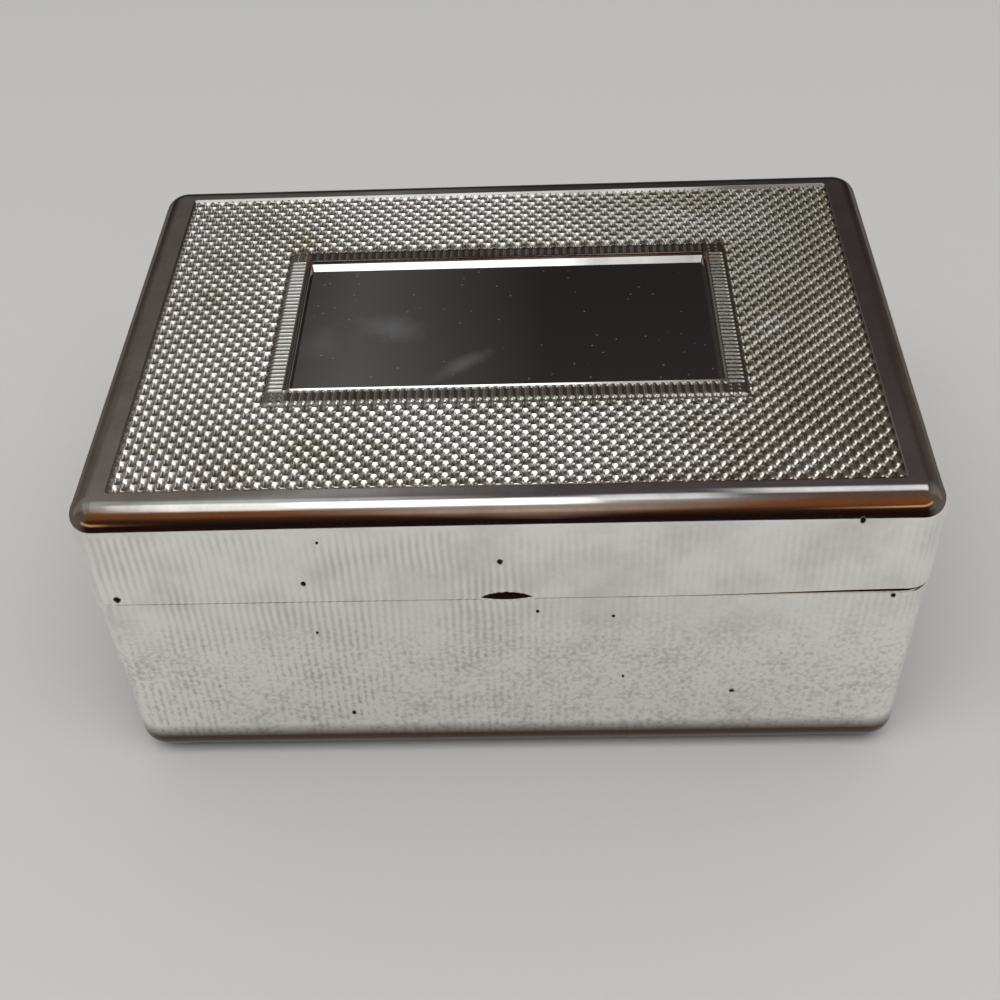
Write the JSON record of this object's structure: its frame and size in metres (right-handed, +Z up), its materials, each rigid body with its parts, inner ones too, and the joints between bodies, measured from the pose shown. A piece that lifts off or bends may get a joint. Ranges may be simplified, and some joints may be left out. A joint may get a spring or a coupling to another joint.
{
  "type": "trinket box",
  "caption": "Hinged rectangular metal trinket box with an engine-turned lid, a framed plain plate, a thumb lip, a rear hinge and a velvet lined inside.",
  "frame": {"origin": "middle of the underside of the felt, where the box rests", "axes": "+X along the box to its right, +Y to the rear where the hinge is, +Z up; the thumb lip is at -Y"},
  "size_m": [0.127, 0.0896, 0.0571],
  "materials": {
    "silver_plate": "bright plated metal, lightly worn",
    "hinge_nickel": "satin nickel",
    "pin_steel": "drawn steel wire",
    "velvet": "short pile velvet over card",
    "card": "grey-brown pressed card",
    "felt": "thin pressed felt"
  },
  "bodies": {
    "base": {"base_shell": "silver_plate", "base_hinge_leaf": "hinge_nickel", "hinge_pin": "pin_steel", "underside_felt": "felt", "floor_card": "card", "floor_pad": "velvet", "base_lining_front": "velvet", "base_lining_right": "velvet", "base_lining_rear": "velvet", "base_lining_left": "velvet"},
    "lid": {"lid_shell": "silver_plate", "lid_hinge_leaf": "hinge_nickel", "lid_card": "card", "lid_pad": "velvet", "lid_lining_front": "velvet", "lid_lining_right": "velvet", "lid_lining_rear": "velvet", "lid_lining_left": "velvet"}
  },
  "joints": [
    {"name": "lid_hinge", "type": "hinge", "parent": "base", "child": "lid", "pos_m": [0, 0.04305, 0.0384], "axis": [-1, 0, 0], "range_deg": [0, 100]}
  ]
}
